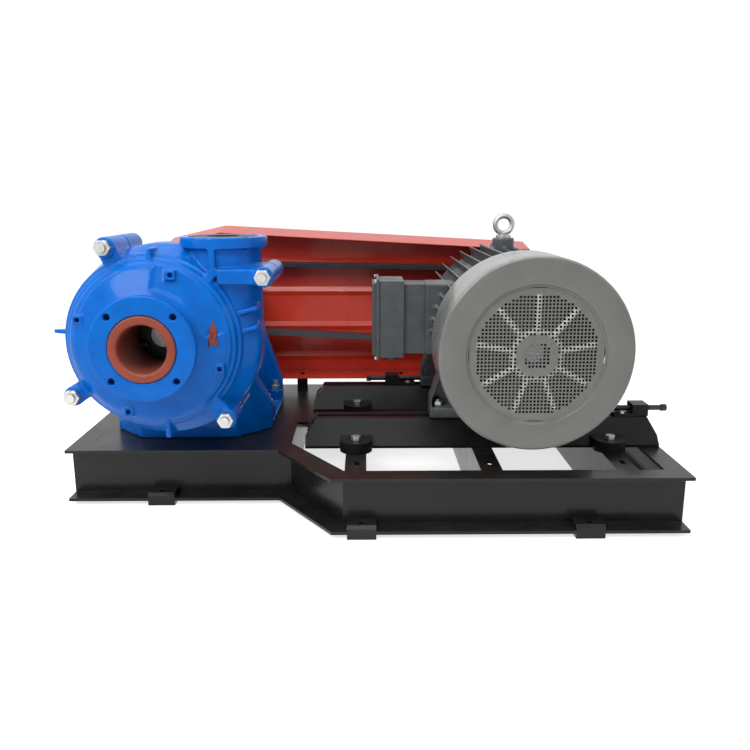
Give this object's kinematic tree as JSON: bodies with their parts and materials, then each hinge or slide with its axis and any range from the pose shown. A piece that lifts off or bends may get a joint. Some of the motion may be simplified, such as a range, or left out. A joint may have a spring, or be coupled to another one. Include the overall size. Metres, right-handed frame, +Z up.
{
  "type": "slurry pump set",
  "caption": "Horizontal lined slurry pump driven by V-belts from a side-by-side electric motor on slide rails, with belt guard, all on one welded steel skid.",
  "frame": {"origin": "centre of the set's plan outline at floor level, under the skid pads", "axes": "+X from the pump to the motor, +Y away from the suction flange towards the belt guard, +Z up"},
  "size_m": [2.28, 1.421, 1.069],
  "materials": {
    "skid_black": "semi-gloss black enamel, chipped on edges",
    "rail_black": "satin black paint on cast iron",
    "pump_blue": "glossy bright blue enamel on castings",
    "liner_red": "red-brown moulded rubber",
    "liner_rubber": "black moulded rubber",
    "impeller_iron": "as-cast hard iron",
    "zinc_fasteners": "bright zinc plate",
    "machined_steel": "machined steel",
    "packing": "braided packing",
    "guard_red": "orange-red semi-gloss paint on sheet",
    "belt_rubber": "matt black rubber with fabric cover",
    "pulley_iron": "machined grey iron",
    "motor_grey": "grey satin enamel on cast iron",
    "cowl_grey": "warm grey enamel on pressed sheet",
    "fan_plastic": "black moulded plastic",
    "core_steel": "stacked laminations",
    "eye_steel": "forged steel, plated",
    "screw_steel": "oiled black steel"
  },
  "bodies": {
    "base": {"skid_front_beam": "skid_black", "skid_left_beam": "skid_black", "skid_right_beam": "skid_black", "skid_rear_beam": "skid_black", "skid_cross_members": "skid_black", "pump_deck_bearers": "skid_black", "pump_deck_plate": "skid_black", "bridge_plate": "skid_black", "foot_pads": "skid_black", "anchor_clips": "skid_black", "cover_plate": "pump_blue", "frame_plate": "pump_blue", "casing_bolts": "zinc_fasteners", "volute_liner": "liner_rubber", "throatbush": "liner_red", "frame_plate_liner": "liner_rubber", "stuffing_box": "pump_blue", "gland": "pump_blue", "gland_packing": "packing", "gland_bolts": "zinc_fasteners", "pump_base": "pump_blue", "bearing_housing": "pump_blue", "bearing_covers": "pump_blue", "bearing_outer_rings": "machined_steel", "housing_clamps": "pump_blue", "housing_clamp_bolts": "zinc_fasteners", "hold_down_bolts": "zinc_fasteners", "belt_guard": "guard_red", "guard_brackets": "skid_black", "v_belts": "belt_rubber", "front_slide_rail": "rail_black", "rear_slide_rail": "rail_black", "rail_bolts": "zinc_fasteners", "adjusting_blocks": "rail_black"},
    "pump_rotor": {"pump_shaft": "machined_steel", "pump_key": "machined_steel", "shaft_sleeve": "machined_steel", "impeller": "impeller_iron", "bearing_inner_rings": "machined_steel", "pump_pulley": "pulley_iron"},
    "motor": {"motor_frame": "motor_grey", "stator_core": "core_steel", "fan_end_shield": "motor_grey", "drive_end_shield": "motor_grey", "motor_outer_races": "machined_steel", "fan_cowl": "cowl_grey", "lifting_eye": "eye_steel", "motor_foot_bolts": "zinc_fasteners", "terminal_box": "motor_grey", "terminal_lid": "motor_grey", "terminal_screws": "zinc_fasteners", "cable_gland": "motor_grey"},
    "motor_rotor": {"rotor_core": "core_steel", "motor_shaft": "machined_steel", "motor_key": "machined_steel", "motor_inner_races": "machined_steel", "cooling_fan": "fan_plastic", "motor_pulley": "pulley_iron"},
    "front_screw": {"front_adjusting_screw": "screw_steel"},
    "rear_screw": {"rear_adjusting_screw": "screw_steel"}
  },
  "joints": [
    {"name": "motor_slide", "type": "slide", "parent": "base", "child": "motor", "axis": [1, 0, 0], "range_m": [-0.02, 0.02], "deforming": ["v_belts"]},
    {"name": "motor_spin", "type": "hinge", "parent": "motor", "child": "motor_rotor", "pos_m": [0.538, 0, 0.628], "axis": [0, -1, 0], "continuous": true},
    {"name": "pump_spin", "type": "hinge", "parent": "base", "child": "pump_rotor", "pos_m": [-0.712, 0, 0.675], "axis": [0, -1, 0], "continuous": true},
    {"name": "front_screw_turn", "type": "hinge", "parent": "motor", "child": "front_screw", "pos_m": [1, -0.1795, 0.339], "axis": [1, 0, 0], "range_deg": [-2900, 2900]},
    {"name": "rear_screw_turn", "type": "hinge", "parent": "motor", "child": "rear_screw", "pos_m": [0.1, 0.3285, 0.339], "axis": [1, 0, 0], "range_deg": [-2900, 2900]}
  ],
  "couplings": [
    {"joint": "pump_spin", "follows": "motor_spin", "ratio": 1.1173},
    {"joint": "front_screw_turn", "follows": "motor_slide", "rad_per_m": 2513.3},
    {"joint": "rear_screw_turn", "follows": "motor_slide", "rad_per_m": 2513.3}
  ]
}
